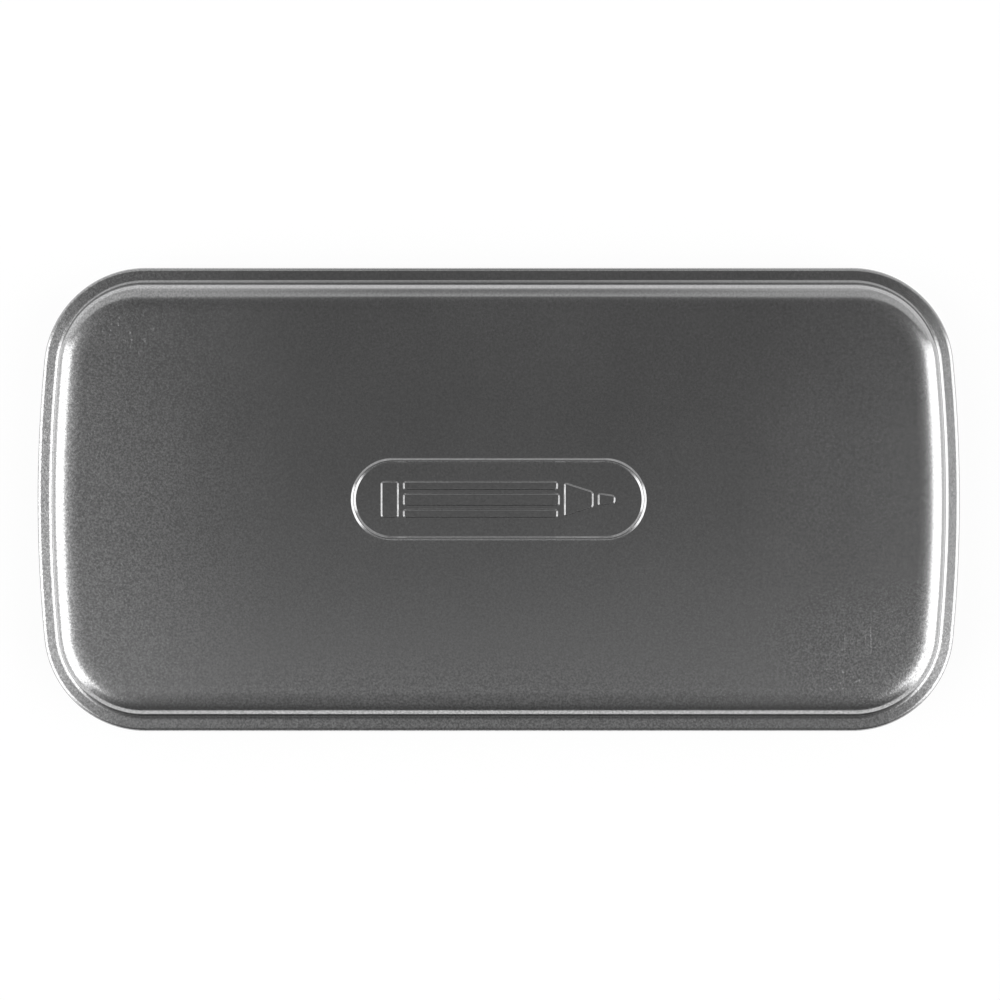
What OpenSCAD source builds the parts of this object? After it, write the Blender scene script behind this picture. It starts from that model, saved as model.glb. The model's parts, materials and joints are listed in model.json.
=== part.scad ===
// Hinged pencil tin of pressed tinplate, with a formed tray, a foam sheet and twelve coloured pencils.
// Millimetres. X runs along the pencils, Y from the front edge to the hinge, Z up.
// The origin is the middle of the flat underside.

/* [Outline] */
// Length over the lid skirt
tin_length = 202; // [168:1:245]
// Width over the lid skirt
tin_width = 101.4; // [84:0.2:122]
// Height over the lid panel, without the embossing
tin_height = 19; // [15.8:0.1:23]
// Corner radius of the lid skirt, seen from above
corner_radius = 22.4; // [18.6:0.1:27]
// Radius of the gentle outward bow of the two short ends
end_bow_radius = 320; // [265:1:385]

/* [Sheet metal] */
// Thickness of the tinplate
sheet = 0.3; // [0.24:0.01:0.36]
// Straight pieces that stand for a quarter turn of a bend
bend_steps = 4; // [3:1:8]

/* [Lid] */
// Width of the flat ledge between the skirt and the raised panel
ledge_width = 3.7; // [3.2:0.05:4.4]
// Depth of the ledge below the panel
ledge_depth = 4.8; // [4.7:0.1:5.8]
// Outer bend radius where the ledge turns down into the skirt
skirt_bend = 0.8; // [0.6:0.05:1]
// Bend radius at the foot of the raised wall
wall_foot_bend = 1; // [0.9:0.05:1.15]
// Outer bend radius round the edge of the panel
panel_bend = 3.6; // [3:0.1:3.65]
// Height of the embossed beads above the panel
emboss_height = 0.35; // [0.25:0.01:0.5]
// Length over the embossed frame
emboss_length = 64; // [52:1:77]
// Width over the embossed frame
emboss_width = 18; // [15:0.5:22]
// Width of the embossed bead
emboss_bead = 1; // [0.8:0.1:1.2]
// Width of the embossed pencil sign
sign_width = 8; // [6.7:0.1:9.6]
// Gap from the ends of the embossed pencil sign to the frame
sign_gap = 6.5; // [5:0.1:8]

/* [Base] */
// Height of the underside of the base shoulder
shoulder_height = 7; // [6:0.1:8.4]
// Clearance between the lid skirt and the base neck
skirt_clearance = 0.4; // [0.35:0.01:0.48]
// Outer bend radius round the floor
floor_bend = 2.5; // [2:0.1:3]
// Bend radius above the lower wall
shoulder_foot_bend = 0.35; // [0.3:0.01:0.42]
// Outer bend radius where the shoulder turns up into the neck
shoulder_bend = 0.5; // [0.4:0.01:0.6]
// Outer radius of the rolled rim at the top of the neck
rim_radius = 0.8; // [0.7:0.01:0.95]
// Clearance between the rolled rim and the lid ledge
rim_clearance = 0.2; // [0.15:0.01:0.25]

/* [Hinge] */
// Distance of each hinge from the middle of the tin
hinge_offset = 46; // [38:0.5:55]
// Length of one hinge over its knuckles
hinge_length = 20; // [17:0.5:24]
// Length of the lid knuckle in the middle of a hinge
lid_knuckle_length = 8; // [7:0.5:9.5]
// Gap between neighbouring knuckles
knuckle_gap = 0.3; // [0.2:0.05:0.4]
// Radius of the hinge wire
wire_radius = 0.6; // [0.5:0.01:0.72]
// Radial clearance of the wire in its knuckles
wire_clearance = 0.05; // [0.03:0.01:0.06]
// Gap between the knuckles and the base shoulder above them
knuckle_drop = 0.15; // [0.1:0.01:0.2]
// Gap between the knuckles and the lower base wall, which is inset to house them
knuckle_wall_gap = 0.2; // [0.15:0.01:0.3]

/* [Pencils] */
// Number of pencils
pencil_count = 12; // [12]
// Gap between two pencils side by side
pencil_gap = 0.25; // [0.2:0.01:0.3]
// Distance from the lid skirt to the row of pencils
row_margin = 7.2; // [6.8:0.1:8]
// Diameter of the coloured core
core_diameter = 3; // [2.5:0.1:3.6]
// Clearance of the core in its casing
core_clearance = 0.02; // [0.01:0.01:0.03]
// Length of the cut cone of the casing
cone_length = 17; // [14:0.5:20]
// Radius of the blunt tip of the core
tip_radius = 0.35; // [0.3:0.01:0.45]
// Endwise play of a pencil in its groove, each way
pencil_play = 1.2; // [1:0.1:1.5]

/* [Tray and foam] */
// Thickness of the formed tray
tray_sheet = 0.5; // [0.4:0.01:0.6]
// Clearance between the tray and the base
tray_clearance = 0.3; // [0.25:0.01:0.36]
// Radial clearance of a pencil in its groove
groove_clearance = 0.1; // [0.08:0.01:0.12]
// Height of the pencil axes above the tray flange
pencil_rise = 1; // [0.8:0.1:1.2]
// Width of the finger well across the grooves
well_width = 26; // [21:0.5:32]
// Clearance between the foam and the pencils
foam_clearance = 0.3; // [0.25:0.01:0.36]
// Gap from the foam to the panel bend
foam_margin = 0.5; // [0.4:0.05:0.6]

/* [Colours] */
// Tinplate
tin_colour = "silver";
// Formed tray
tray_colour = "dimgray";
// Foam sheet
foam_colour = "whitesmoke";
// Pencil cores, in the order in which they lie
core_colours = ["gold", "orange", "red", "crimson", "violet", "purple",
                "navy", "dodgerblue", "green", "yellowgreen", "sienna", "black"];

/* [Hidden] */
// Steps of a full turn, for small round parts and for the long bows of the short ends
$fn = 96;
bow_steps = 720;
SIDES = [0, 1];
function snap(value, step) = step * round(value / step);
function pencil_name(i) = str("pencil_", i < 9 ? "0" : "", i + 1);

// Outline: centres of the corner arcs and of the bowed ends
half_length = tin_length / 2;
half_width = tin_width / 2;
corner_y = half_width - corner_radius;
bow_reach = end_bow_radius - corner_radius;
bow_centre = half_length - end_bow_radius;
corner_x = snap(bow_centre + sqrt(bow_reach * bow_reach - corner_y * corner_y), 0.001);
bow_angle = snap(asin(corner_y / bow_reach), 0.0001);
// Lap of two stretches of the ring, along a long side and as a turn of a short end
seam_lap = 0.001;
seam_turn = 0.0003;

// Distances from the corner centres, outwards
knuckle_radius = wire_radius + wire_clearance + sheet;
lid_wall = corner_radius - ledge_width;
neck = corner_radius - sheet - skirt_clearance;
base_wall = corner_radius - 2 * knuckle_radius - knuckle_wall_gap;
base_wall_inside = base_wall - sheet;
neck_inside = neck - sheet;

// Heights
ledge_height = tin_height - ledge_depth;
rim_height = ledge_height - sheet - rim_clearance;
panel_inside = tin_height - sheet;
shoulder_inside = shoulder_height + sheet;

// Hinge
hinge_y = half_width - knuckle_radius;
hinge_height = shoulder_height - knuckle_drop - knuckle_radius;
base_knuckle_length = (hinge_length - lid_knuckle_length) / 2 - knuckle_gap;

// Pencils and tray
pencil_pitch = 2 * (half_width - row_margin) / pencil_count;
pencil_radius = (pencil_pitch - pencil_gap) / 2;
core_radius = core_diameter / 2;
flange_top = shoulder_inside + tray_sheet;
pencil_height = flange_top + pencil_rise;
groove_radius = pencil_radius + groove_clearance;
outer_groove_y = (pencil_count - 1) / 2 * pencil_pitch;
row_edge = outer_groove_y + groove_radius + tray_sheet;
tray_corner = base_wall_inside - tray_clearance;
tray_end = corner_x + sqrt(pow(tray_corner, 2) - pow(row_edge - corner_y, 2));
groove_end = tray_end - tray_sheet;
pencil_half = groove_end - pencil_play;
tip_length = cone_length * (core_radius - tip_radius) / (pencil_radius - core_radius);
cone_start = pencil_half - tip_length - cone_length;

// Sheet metal sections. A bend is [centre, signed radius of the middle of the sheet, first and last
// direction of the outer face]; a radius of zero makes a plain end of the sheet.
function bend_line(b, side) = let (steps = max(1, ceil(bend_steps * abs(b[3] - b[2]) / 90)))
    b[1] == 0 ? [b[0] + side * sheet / 2 * [cos(b[2]), sin(b[2])]]
    : [for (i = [0:steps]) let (a = b[2] + (b[3] - b[2]) * i / steps)
        b[0] + (b[1] + side * sheet / 2) * [cos(a), sin(a)]];
function backwards(points) = [for (i = [len(points) - 1:-1:0]) points[i]];
function sheet_section(bends) = concat([for (b = bends) each bend_line(b, 1)],
                                       backwards([for (b = bends) each bend_line(b, -1)]));

// Carries a section, drawn as [distance from the corner centre, height], round the outline of the tin.
// The ends and the long sides run a hair into the corners, so that the whole ring is one solid.
module round_the_tin() {
    for (mx = SIDES) mirror([mx, 0, 0]) {
        for (my = SIDES) mirror([0, my, 0])
            translate([corner_x, corner_y, 0])
                rotate_extrude(angle = 90 - bow_angle, start = bow_angle) children();
        translate([bow_centre, 0, 0])
            rotate_extrude(angle = 2 * (bow_angle + seam_turn), start = -bow_angle - seam_turn, $fn = bow_steps)
                translate([bow_reach, 0]) children();
    }
    for (my = SIDES) mirror([0, my, 0])
        translate([-corner_x - seam_lap, corner_y, 0])
            rotate([90, 0, 90]) linear_extrude(2 * (corner_x + seam_lap)) children();
}

// The part of a level plate that lies within the corner centres.
module plate_middle(bottom, thickness) {
    translate([-corner_x, -corner_y, bottom]) cube([2 * corner_x, 2 * corner_y, thickness]);
    sag = bow_reach - (corner_x - bow_centre);
    for (mx = SIDES) mirror([mx, 0, 0]) translate([bow_centre, 0, bottom])
        rotate_extrude(angle = 2 * (bow_angle + seam_turn), start = -bow_angle - seam_turn, $fn = bow_steps)
            translate([bow_reach - 2 * sag, 0]) square([2 * sag, thickness]);
}

// A level plate that reaches the given distance past the corner centres.
module plate(reach, bottom, thickness) {
    round_the_tin() translate([0, bottom]) square([reach, thickness]);
    plate_middle(bottom, thickness);
}

// A rounded bar along X, seen from above.
module stadium(length, width) {
    square([length - width, width], center = true);
    for (mx = SIDES) mirror([mx, 0]) translate([(length - width) / 2, 0]) circle(d = width);
}

// A curled knuckle round the hinge wire, with its strip up to the sheet that it is cut from.
module knuckle(length, strip_side, strip_top) {
    rotate([0, 90, 0]) cylinder(r = knuckle_radius, h = length, center = true);
    translate([-length / 2, strip_side > 0 ? knuckle_radius - sheet : -knuckle_radius, 0])
        cube([length, sheet, strip_top - hinge_height]);
}

module hinge_bore() {
    for (mx = SIDES) mirror([mx, 0, 0]) translate([hinge_offset, hinge_y, hinge_height])
        rotate([0, 90, 0]) cylinder(r = wire_radius + wire_clearance, h = hinge_length + 1, center = true);
}

module lid_shell() {
    section = sheet_section([
        [[corner_radius - sheet / 2, shoulder_height], 0, 0, 0],
        [[corner_radius - skirt_bend, ledge_height - skirt_bend], skirt_bend - sheet / 2, 0, 90],
        [[lid_wall + wall_foot_bend, ledge_height + wall_foot_bend], -wall_foot_bend - sheet / 2, 90, 0],
        [[lid_wall - panel_bend, tin_height - panel_bend], panel_bend - sheet / 2, 0, 90],
        [[0, tin_height - sheet / 2], 0, 90, 90]]);
    color(tin_colour) {
        difference() {
            union() {
                round_the_tin() polygon(section);
                plate_middle(panel_inside, sheet);
                for (mx = SIDES) mirror([mx, 0, 0]) translate([hinge_offset, hinge_y, hinge_height])
                    knuckle(lid_knuckle_length, 1, shoulder_height);
            }
            hinge_bore();
        }
        translate([0, 0, tin_height - sheet / 2]) linear_extrude(emboss_height + sheet / 2) {
            difference() {
                stadium(emboss_length, emboss_width);
                stadium(emboss_length - 2 * emboss_bead, emboss_width - 2 * emboss_bead);
            }
            pencil_sign();
        }
    }
}

// A plain pencil as a sign: a bar with one pointed end.
module pencil_sign() {
    reach = emboss_length / 2 - sign_gap;
    point = sign_width * 1.5;
    polygon([[-reach, -sign_width / 2], [reach - point, -sign_width / 2], [reach, 0],
             [reach - point, sign_width / 2], [-reach, sign_width / 2]]);
}

module base_shell() {
    section = sheet_section([
        [[0, sheet / 2], 0, -90, -90],
        [[base_wall - floor_bend, floor_bend], floor_bend - sheet / 2, -90, 0],
        [[base_wall + shoulder_foot_bend, shoulder_height - shoulder_foot_bend],
            -shoulder_foot_bend - sheet / 2, 0, -90],
        [[neck - shoulder_bend, shoulder_height + shoulder_bend], shoulder_bend - sheet / 2, -90, 0],
        [[neck - rim_radius, rim_height - rim_radius], rim_radius - sheet / 2, 0, 240]]);
    knuckle_x = (hinge_length - base_knuckle_length) / 2;
    color(tin_colour) difference() {
        union() {
            round_the_tin() polygon(section);
            plate_middle(0, sheet);
            for (mx = SIDES) mirror([mx, 0, 0]) for (x = [-knuckle_x, knuckle_x])
                translate([hinge_offset + x, hinge_y, hinge_height])
                    knuckle(base_knuckle_length, -1, shoulder_height + sheet / 2);
        }
        hinge_bore();
    }
}

module hinge_wire(side) {
    color(tin_colour) translate([side * hinge_offset, hinge_y, hinge_height])
        rotate([0, 90, 0]) cylinder(r = wire_radius, h = hinge_length, center = true);
}

module pencil_tray() {
    well_floor = sheet + tray_sheet;
    color(tray_colour) difference() {
        union() {
            plate(neck_inside - tray_clearance, shoulder_inside, tray_sheet);
            intersection() {
                tray_grooves(groove_radius + tray_sheet, tray_end);
                translate([-tray_end, -row_edge, 0]) cube([2 * tray_end, 2 * row_edge, flange_top]);
            }
            translate([-well_width / 2 - tray_sheet, -row_edge, sheet])
                cube([well_width + 2 * tray_sheet, 2 * row_edge, flange_top - sheet]);
        }
        tray_grooves(groove_radius, groove_end);
        translate([-well_width / 2, tray_sheet - row_edge, well_floor])
            cube([well_width, 2 * (row_edge - tray_sheet), tin_height]);
    }
}

module tray_grooves(radius, reach) {
    for (i = [0:pencil_count - 1]) along_pencil(i)
        translate([0, 0, -reach]) cylinder(r = radius, h = 2 * reach);
}

module foam_sheet() {
    bottom = pencil_height + pencil_radius + foam_clearance;
    color(foam_colour) plate(lid_wall - panel_bend - foam_margin, bottom, panel_inside - bottom);
}

// Turns the Z axis into the axis of a pencil, with the tip towards +X.
module along_pencil(i) {
    translate([0, outer_groove_y - i * pencil_pitch, pencil_height]) rotate([0, 90, 0]) children();
}

module pencil_casing(i) {
    color("burlywood") along_pencil(i) difference() {
        rotate_extrude() polygon([[0, -pencil_half], [pencil_radius, -pencil_half], [pencil_radius, cone_start],
                                  [core_radius + core_clearance, cone_start + cone_length],
                                  [0, cone_start + cone_length]]);
        translate([0, 0, -pencil_half - 1]) cylinder(r = core_radius + core_clearance, h = 2 * pencil_half + 2);
    }
}

module pencil_core(i) {
    color(core_colours[i]) along_pencil(i)
        rotate_extrude() polygon([[0, -pencil_half], [core_radius, -pencil_half],
                                  [core_radius, cone_start + cone_length],
                                  [tip_radius, pencil_half], [0, pencil_half]]);
}

lid_shell();
base_shell();
hinge_wire(-1);  // hinge_wire_left
hinge_wire(1);  // hinge_wire_right
pencil_tray();
foam_sheet();
for (i = [0:pencil_count - 1]) {
    pencil_casing(i);
    pencil_core(i);
}
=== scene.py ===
"""Looks of a hinged pencil tin: pressed tinplate, formed tray, foam sheet and coloured pencils."""

import json
import math

import bmesh
import bpy
from bpy.props import FloatProperty, FloatVectorProperty, PointerProperty
from mathutils import Matrix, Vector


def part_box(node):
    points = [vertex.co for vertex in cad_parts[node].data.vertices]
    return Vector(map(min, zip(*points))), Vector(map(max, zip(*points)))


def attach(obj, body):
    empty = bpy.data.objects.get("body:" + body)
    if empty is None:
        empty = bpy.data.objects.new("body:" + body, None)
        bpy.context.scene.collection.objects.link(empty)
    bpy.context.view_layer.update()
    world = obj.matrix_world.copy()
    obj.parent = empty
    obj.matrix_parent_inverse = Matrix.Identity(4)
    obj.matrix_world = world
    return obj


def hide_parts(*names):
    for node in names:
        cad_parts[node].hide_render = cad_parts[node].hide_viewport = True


bl_info = {
    "name": "Pencil tin",
    "version": (1, 0, 0),
    "blender": (4, 5, 0),
    "location": "3D View > Sidebar > Pencil tin",
    "description": "Models and finishes a hinged tin of coloured pencils",
    "category": "Object",
}

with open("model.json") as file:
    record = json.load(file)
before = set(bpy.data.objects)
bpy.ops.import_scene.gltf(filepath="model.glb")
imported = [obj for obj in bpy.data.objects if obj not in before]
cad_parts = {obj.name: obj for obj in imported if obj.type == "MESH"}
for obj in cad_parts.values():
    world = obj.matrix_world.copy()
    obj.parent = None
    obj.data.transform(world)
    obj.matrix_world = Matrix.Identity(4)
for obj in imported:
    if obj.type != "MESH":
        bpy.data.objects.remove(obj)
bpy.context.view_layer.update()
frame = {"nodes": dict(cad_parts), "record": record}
_, LID_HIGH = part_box("lid_shell")
_, BASE_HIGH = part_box("base_shell")
TRAY_LOW, TRAY_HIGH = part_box("pencil_tray")
FOAM_LOW, FOAM_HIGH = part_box("foam_sheet")
WIRE_LOW, WIRE_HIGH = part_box("hinge_wire_right")
PENCILS = sorted(name[:-len("_casing")] for name in frame["nodes"] if name.endswith("_casing"))
CASING_LOW, CASING_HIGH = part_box(PENCILS[0] + "_casing")
CORE_LOW, CORE_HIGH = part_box(PENCILS[0] + "_core")
SLOT_COLOURS = {row["slot"]: tuple(row["base_color"]) for row in frame["record"]["materials"]}
NODE_SLOTS = {row["node"]: row["material_slot"] for row in frame["record"]["subparts"]}
HINGE_Y = (WIRE_LOW[1] + WIRE_HIGH[1]) / 2
HINGE_Z = (WIRE_LOW[2] + WIRE_HIGH[2]) / 2
MM = 0.001
TINY = 1e-6
NEAR = 1e-5
HEM = 0.3 * MM  # flat strip that ends a pressed bend
SLIDE = 1.2 * MM  # end play of a pencil
CORNER_RADIUS = 22.4 * MM
CORNER_Y = LID_HIGH[1] - CORNER_RADIUS
END_STEPS = 12
CORNER_STEPS = 36


# ---- sizes and colours

def size(name, description, default):
    """A length that can be set in the add-on."""
    return FloatProperty(name=name, description=description, default=default, min=0.0, unit="LENGTH")


def tint(name, description, default):
    """A colour that can be set in the add-on."""
    return FloatVectorProperty(name=name, description=description, subtype="COLOR", default=default)


class TinSizes(bpy.types.PropertyGroup):
    """Sizes of the pressed shells."""

    corner_radius: size("Corner radius", "Corner of the lid skirt, seen from above", CORNER_RADIUS)
    end_bow_radius: size("End bow radius", "Outward bow of the two short ends", 320 * MM)
    sheet: size("Sheet", "Thickness of the tinplate", 0.3 * MM)
    emboss_height: size("Emboss height", "Height of the beads on the panel", 0.35 * MM)
    ledge_width: size("Ledge width", "From the skirt to the raised wall", 3.7 * MM)
    ledge_depth: size("Ledge depth", "From the panel down to the ledge", 4.8 * MM)
    skirt_bend: size("Skirt bend", "Bend from the ledge into the skirt", 0.8 * MM)
    wall_foot_bend: size("Wall foot bend", "Bend at the foot of the raised wall", 1.0 * MM)
    panel_bend: size("Panel bend", "Bend round the panel", 3.6 * MM)
    shoulder_height: size("Shoulder height", "Lower edge of the skirt and of the shoulder", 7 * MM)
    skirt_clearance: size("Skirt clearance", "Between the lid skirt and the base neck", 0.4 * MM)
    lower_wall_inset: size("Lower wall inset", "From the lid skirt to the lower base wall", 2.1 * MM)
    floor_bend: size("Floor bend", "Bend round the floor", 2.5 * MM)
    shoulder_bend: size("Shoulder bend", "Bend from the shoulder up into the neck", 0.5 * MM)
    shoulder_foot_bend: size("Shoulder foot bend", "Bend above the lower wall", 0.35 * MM)
    rim_radius: size("Rim radius", "Rolled rim at the top of the neck", 0.8 * MM)


class Hinge(bpy.types.PropertyGroup):
    """Sizes of the two hinges."""

    offset: size("Offset", "From the middle of the tin to each hinge", (WIRE_LOW[0] + WIRE_HIGH[0]) / 2)
    lid_knuckle: size("Lid knuckle", "Length of the lid knuckle", 8 * MM)
    gap: size("Gap", "Between neighbouring knuckles", 0.3 * MM)
    clearance: size("Clearance", "Of the wire in its knuckles", 0.05 * MM)
    curl: FloatProperty(name="Curl", description="How far a knuckle is curled round the wire",
                        default=math.radians(300), subtype="ANGLE")


class TraySizes(bpy.types.PropertyGroup):
    """Sizes of the formed tray."""

    sheet: size("Tray sheet", "Thickness of the formed sheet", 0.5 * MM)
    edge_reach: size("Edge reach", "From the corner centres to its edge", TRAY_HIGH[1] - CORNER_Y)
    groove_radius: size("Groove radius", "Of each pencil groove", 3.6 * MM)
    groove_end: size("Groove end", "From the middle of the tray to its end", CORE_HIGH[0] + SLIDE)
    well_width: size("Well width", "Width of the finger well", 26 * MM)
    ridge_blend: size("Ridge blend", "Rounding of the ridges between grooves", 0.25 * MM)


class FoamSizes(bpy.types.PropertyGroup):
    """Sizes of the foam sheet in the lid."""

    edge_reach: size("Foam reach", "From the corner centres to its edge", FOAM_HIGH[1] - CORNER_Y)
    edge_bend: size("Foam edge", "Rounding of the cut edge", 0.7 * MM)
    dent: size("Dent", "Depth of the dents that the pencils leave", 0.24 * MM)


class PencilSizes(bpy.types.PropertyGroup):
    """Sizes of one pencil."""

    core_radius: size("Core radius", "Of the pigment core", 1.5 * MM)
    bore_radius: size("Bore radius", "Of the bore in the casing", 1.52 * MM)
    cone_length: size("Cone length", "Of the sharpened wood", 17 * MM)
    tip_radius: size("Tip radius", "Of the point", 0.35 * MM)
    lacquer: size("Lacquer", "Thickness of the lacquer coat", 0.08 * MM)


class Finishes(bpy.types.PropertyGroup):
    """Colours of the metals and the bare wood."""

    metal: tint("Tinplate", "Bare tinplate", SLOT_COLOURS["tinplate"])
    wire: tint("Wire", "Hinge wire", (0.52, 0.51, 0.5))
    wood: tint("Wood", "Bare wood of the pencils", (0.62, 0.4, 0.22))


# ---- modelling helpers

def deselect_all():
    """Goes to object mode with nothing selected."""
    if bpy.context.mode != "OBJECT":
        leave_edit()
    bpy.ops.object.select_all(action="DESELECT")


def only(piece):
    """Makes one piece the selected and active one."""
    deselect_all()
    piece.select_set(True)
    bpy.context.view_layer.objects.active = piece


def join(name, *parts):
    """Joins parts into the first one."""
    deselect_all()
    for part in parts:
        part.select_set(True)
    bpy.context.view_layer.objects.active = parts[0]
    bpy.ops.object.join()
    parts[0].name = parts[0].data.name = name
    return parts[0]


def corner_centre(sizes):
    """Centre of a corner, then the reach and the centre of the bow that its end follows."""
    corner_y = LID_HIGH[1] - sizes.corner_radius
    bow_reach = sizes.end_bow_radius - sizes.corner_radius
    bow_centre = LID_HIGH[0] - sizes.end_bow_radius
    return bow_centre + math.sqrt(bow_reach ** 2 - corner_y ** 2), corner_y, bow_reach, bow_centre


def arc(x, y, radius, turns):
    """Points round a centre at the given angles."""
    return [(x + radius * math.cos(turn), y + radius * math.sin(turn)) for turn in turns]


def outline(sizes, reach, marks=()):
    """The outline of the tin at a distance from its corner centres, anticlockwise from the +X end.

    marks are places along each long side that get a point of their own."""
    corner_x, corner_y, bow_reach, bow_centre = corner_centre(sizes)
    bow = math.asin(corner_y / bow_reach)
    quarter = arc(bow_centre, 0, bow_reach + reach, [bow * (i + 0.5) / END_STEPS for i in range(END_STEPS)])
    quarter += arc(corner_x, corner_y, reach,
                   [bow + (math.pi / 2 - bow) * i / CORNER_STEPS for i in range(CORNER_STEPS + 1)])
    side = [(x, corner_y + reach) for x in sorted(marks, reverse=True)]
    half = quarter + side + [(-x, y) for x, y in reversed(quarter)]
    return half + [(-x, -y) for x, y in half]


def stadium(length, width, steps=28):
    """A bar with round ends, anticlockwise."""
    radius = width / 2
    half = arc(length / 2 - radius, 0, radius, [math.pi * (i / steps - 0.5) for i in range(steps + 1)])
    return half + [(-x, -y) for x, y in half]


def disc(radius, steps=40):
    """A circle of points, anticlockwise."""
    return arc(0, 0, radius, [2 * math.pi * i / steps for i in range(steps)])


def face(name, points, height, up=True):
    """One flat face with the given outline."""
    deselect_all()
    bpy.ops.mesh.primitive_circle_add(vertices=len(points), fill_type="NGON")
    piece = bpy.context.object
    piece.name = name
    for vertex, (x, y) in zip(piece.data.vertices, points):
        vertex.co = (x, y, height)
    piece.data.update()
    if (piece.data.polygons[0].normal.z > 0) != up:
        piece.data.flip_normals()
    return piece


def press(piece, steps, up=True, keep_end=False):
    """Forms the face of a piece by steps, each a distance inwards and a distance along its normal."""
    edit(piece, "SELECT", "FACE")
    for inwards, along in steps:
        if inwards > TINY:
            bpy.ops.mesh.inset(thickness=inwards, depth=along)
        else:
            bpy.ops.mesh.extrude_region_move(
                TRANSFORM_OT_translate={"value": (0, 0, along if up else -along)})
    if not keep_end:
        bpy.ops.mesh.delete(type="ONLY_FACE")
    leave_edit()


def outward_bend(radius, last=90, count=8):
    """Steps round a bend whose centre lies inside the piece, to some degrees from its upright wall."""
    turns = [math.radians(last * i / count) for i in range(count + 1)]
    return [(radius * (math.cos(a) - math.cos(b)), radius * (math.sin(b) - math.sin(a)))
            for a, b in zip(turns, turns[1:])]


def inward_bend(radius):
    """Steps round a hollow bend from a level ledge up into a wall."""
    return [(inwards, along) for along, inwards in outward_bend(radius, count=6)]


def ledge(width):
    """Steps across a level stretch, with a narrow strip at each side that keeps its middle flat."""
    strip = width * 0.08
    return [(strip, 0), (width - 2 * strip, 0), (strip, 0)]


def swell(width, height, count=6):
    """Steps up a soft slope that starts and ends level."""
    rises = [height * (1 - math.cos(math.pi * i / count)) / 2 for i in range(count + 1)]
    return [(width / count, b - a) for a, b in zip(rises, rises[1:])]


def edit(piece, action="DESELECT", kind="EDGE"):
    """Opens a piece for editing with nothing or all of it selected, and returns its mesh."""
    only(piece)
    bpy.ops.object.mode_set(mode="EDIT")
    bpy.ops.mesh.select_mode(type=kind)
    bpy.ops.mesh.select_all(action=action)
    return bmesh.from_edit_mesh(piece.data)


def leave_edit():
    """Goes back to object mode."""
    bpy.ops.object.mode_set(mode="OBJECT")


def pick_edges(piece, belongs):
    """Opens a piece for editing with the edges selected whose middle passes the test."""
    mesh = edit(piece)
    for edge in mesh.edges:
        edge.select_set(belongs(edge, (edge.verts[0].co + edge.verts[1].co) / 2))
    mesh.select_flush_mode()
    bmesh.update_edit_mesh(piece.data)


def drop_cover(piece, height):
    """Deletes the many-sided face at the given height and keeps its edges."""
    mesh = edit(piece)
    for polygon in mesh.faces:
        polygon.select_set(len(polygon.verts) > 4 and abs(polygon.calc_center_median().z - height) < TINY)
    bmesh.update_edit_mesh(piece.data)
    bpy.ops.mesh.select_mode(type="FACE")
    bpy.ops.mesh.delete(type="ONLY_FACE")
    leave_edit()


def fill_between(piece, height, belongs):
    """Fills the level area between the open loops whose edges pass the test."""
    pick_edges(piece, lambda edge, middle: edge.is_boundary and abs(middle.z - height) < NEAR
               and belongs(middle))
    bpy.ops.mesh.fill(use_beauty=True)
    leave_edit()


def weld(piece):
    """Merges doubled points and turns all faces outwards."""
    edit(piece, "SELECT")
    bpy.ops.mesh.remove_doubles(threshold=TINY)
    bpy.ops.mesh.normals_make_consistent(inside=False)
    leave_edit()


def press_halves(name, points, height, *halves):
    """A shell pressed both ways from an outline; a half is its direction, steps and if its end stays."""
    parts = []
    for up, steps, keep_end in halves:
        part = face(name, points, height, up)
        press(part, steps, up, keep_end)
        drop_cover(part, height)
        parts.append(part)
    shell = join(name, *parts)
    weld(shell)
    return shell


def thicken(piece, thickness):
    """Gives a single skin its thickness, on its inner side."""
    only(piece)
    solid = piece.modifiers.new("sheet", "SOLIDIFY")
    solid.thickness = thickness
    solid.offset = -1
    solid.use_even_offset = True
    bpy.ops.object.modifier_apply(modifier=solid.name)


def turn_skin(piece, height, up=True):
    """Turns an open skin so that its level part at the given height faces up or down."""
    level = [p for p in piece.data.polygons if abs(p.center.z - height) < NEAR and abs(p.normal.z) > 0.9]
    if (sum(p.normal.z * p.area for p in level) < 0) == up:
        piece.data.flip_normals()


def curl(hinge, axis):
    """Curls the selected edges round the wire of the hinge."""
    bpy.ops.mesh.spin(steps=20, angle=hinge.curl, center=(0, HINGE_Y, HINGE_Z), axis=axis)
    leave_edit()


def score(piece, across, places):
    """Cuts a piece along straight lines, at the given places along X (0) or Y (1)."""
    edit(piece)
    direction = (1 - across, across, 0)
    for place in sorted(places):
        bpy.ops.mesh.select_all(action="SELECT")
        bpy.ops.mesh.bisect(plane_co=(place, place, 0), plane_no=direction, threshold=1e-7)
    leave_edit()


def smooth_step(value, start, end):
    """From 0 at the start to 1 at the end, level at both."""
    share = min(1.0, max(0.0, (value - start) / (end - start)))
    return share * share * (3 - 2 * share)


def finish_piece(piece, body, material, node, smooth_to=32):
    """Shades bends smooth, gives the material, and lets a piece ride in place of its node."""
    only(piece)
    bpy.ops.object.shade_smooth_by_angle(angle=math.radians(smooth_to))
    piece.data.materials.clear()
    piece.data.materials.append(material)
    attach(piece, body)
    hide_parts(node)


# ---- lid

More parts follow.
